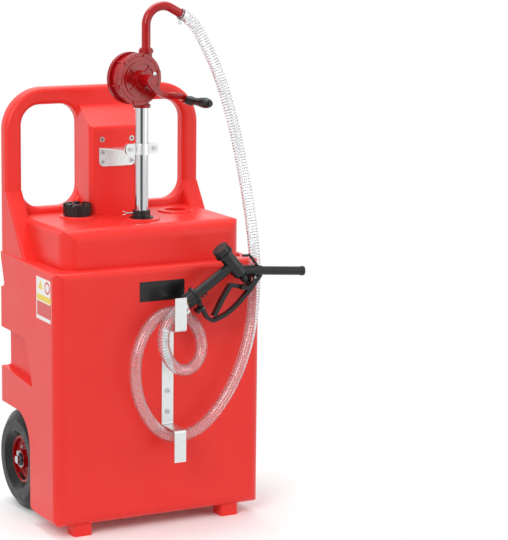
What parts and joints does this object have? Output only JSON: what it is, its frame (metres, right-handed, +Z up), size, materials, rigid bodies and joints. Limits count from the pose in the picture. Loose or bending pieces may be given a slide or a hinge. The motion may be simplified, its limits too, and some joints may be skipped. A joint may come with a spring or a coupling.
{
  "type": "fuel caddy",
  "caption": "wheeled plastic fuel tank with a hand-cranked rotary pump, delivery hose on two hooks and a trigger nozzle",
  "frame": {"origin": "middle of the footprint of all but the hose, on the floor", "axes": "+X to the right seen from the front, -Y to the front, +Z up"},
  "size_m": [0.6528, 0.5314, 1.3152],
  "materials": {
    "tank": "satin moulded plastic",
    "pump_paint": "gloss enamel",
    "chrome": "polished",
    "zinc": "bright zinc plate",
    "steel": "machined",
    "black_plastic": "satin moulded plastic",
    "rubber": "matt",
    "tyre": "matt",
    "rim_paint": "gloss enamel",
    "clear_hose": "clear with a wire helix",
    "brass": "machined"
  },
  "bodies": {
    "caddy": {"tank_shell": "tank", "tank_top": "tank", "handle_frame": "tank", "filler_neck": "black_plastic", "drum_adaptor": "black_plastic", "suction_tube": "chrome", "pump_housing": "pump_paint", "front_gasket": "rubber", "rear_gasket": "rubber", "pump_front_cover": "pump_paint", "pump_rear_cover": "pump_paint", "cover_bolts": "zinc", "gland_packing": "rubber", "gland_nut": "pump_paint", "delivery_spout": "pump_paint", "spout_hose_clamp": "zinc", "delivery_hose": "clear_hose", "nozzle_hose_clamp": "zinc", "hose_tail": "black_plastic", "union_nut": "black_plastic", "nozzle_body": "black_plastic", "trigger_guard": "black_plastic", "nozzle_spout": "black_plastic", "valve_cap": "black_plastic", "valve_cap_seal": "rubber", "valve_spring": "steel", "trigger_pin": "steel", "latch_pin": "steel", "hose_bracket": "zinc", "hose_bracket_screws": "zinc", "pump_bracket": "zinc", "pump_clamp_half": "zinc", "clamp_bolts": "zinc", "bracket_screws": "zinc", "spare_inserts": "brass", "axle": "zinc", "axle_washers": "zinc", "split_pins": "zinc"},
    "crank": {"crank_arm": "pump_paint", "crank_set_screw": "zinc", "crank_grip_pin": "steel", "pump_shaft": "steel", "pump_rotor": "steel", "pump_vanes": "black_plastic"},
    "grip": {"crank_grip": "black_plastic"},
    "right_wheel": {"right_tyre": "tyre", "right_inner_tube": "rubber", "right_rim": "rim_paint", "right_bearings": "steel", "right_rim_screws": "steel", "right_valve_stem": "brass"},
    "left_wheel": {"left_tyre": "tyre", "left_inner_tube": "rubber", "left_rim": "rim_paint", "left_bearings": "steel", "left_rim_screws": "steel", "left_valve_stem": "brass"},
    "trigger_lever": {"trigger": "black_plastic"},
    "poppet": {"valve_poppet": "brass"},
    "latch": {"hold_open_latch": "black_plastic"},
    "cap_disc": {"filler_cap_disc": "black_plastic", "filler_cap_gasket": "rubber"},
    "cap_ring": {"filler_cap_ring": "black_plastic"},
    "pinch_screw": {"wing_screw": "zinc"},
    "lower_tube": {"lower_suction_tube": "zinc", "foot_strainer": "black_plastic"}
  },
  "joints": [
    {"name": "pump_crank", "type": "hinge", "parent": "caddy", "child": "crank", "pos_m": [-0.04845, -0.04142, 1.1255], "axis": [0.1736, -0.9848, 0], "continuous": true},
    {"name": "grip_spin", "type": "hinge", "parent": "crank", "child": "grip", "pos_m": [0.07813, -0.08897, 1.0702], "axis": [0.1736, -0.9848, 0], "continuous": true},
    {"name": "right_wheel_spin", "type": "hinge", "parent": "caddy", "child": "right_wheel", "pos_m": [0.1857, 0.13566, 0.13], "axis": [1, 0, 0], "continuous": true},
    {"name": "left_wheel_spin", "type": "hinge", "parent": "caddy", "child": "left_wheel", "pos_m": [-0.2683, 0.13566, 0.13], "axis": [1, 0, 0], "continuous": true},
    {"name": "trigger_squeeze", "type": "hinge", "parent": "caddy", "child": "trigger_lever", "pos_m": [0.18247, -0.24619, 0.6395], "axis": [0.0523, 0.9986, 0], "range_deg": [0, 17], "stiffness_Nm_per_rad": 0.6, "springref_deg": -17.19},
    {"name": "valve_lift", "type": "slide", "parent": "caddy", "child": "poppet", "axis": [-0.6472, 0.0339, 0.7615], "range_m": [0, 0.0075], "deforming": ["valve_spring"]},
    {"name": "latch_swing", "type": "hinge", "parent": "caddy", "child": "latch", "pos_m": [0.04466, -0.23897, 0.5715], "axis": [-0.0523, -0.9986, 0], "range_deg": [0, 32]},
    {"name": "cap_lift", "type": "slide", "parent": "caddy", "child": "cap_disc", "axis": [0, 0, 1], "range_m": [0, 0.15]},
    {"name": "cap_turn", "type": "hinge", "parent": "cap_disc", "child": "cap_ring", "pos_m": [-0.1583, 0.06266, 0.788], "axis": [0, 0, 1], "range_deg": [0, 540]},
    {"name": "pinch_turn", "type": "hinge", "parent": "caddy", "child": "pinch_screw", "pos_m": [-0.05349, -0.02708, 0.7835], "axis": [-0.9397, 0.342, 0], "range_deg": [-360, 360]},
    {"name": "tube_length", "type": "slide", "parent": "caddy", "child": "lower_tube", "axis": [0, 0, 1], "range_m": [0, 0.25]}
  ],
  "couplings": [
    {"joint": "valve_lift", "follows": "trigger_squeeze", "m_per_rad": 0.0235}
  ]
}
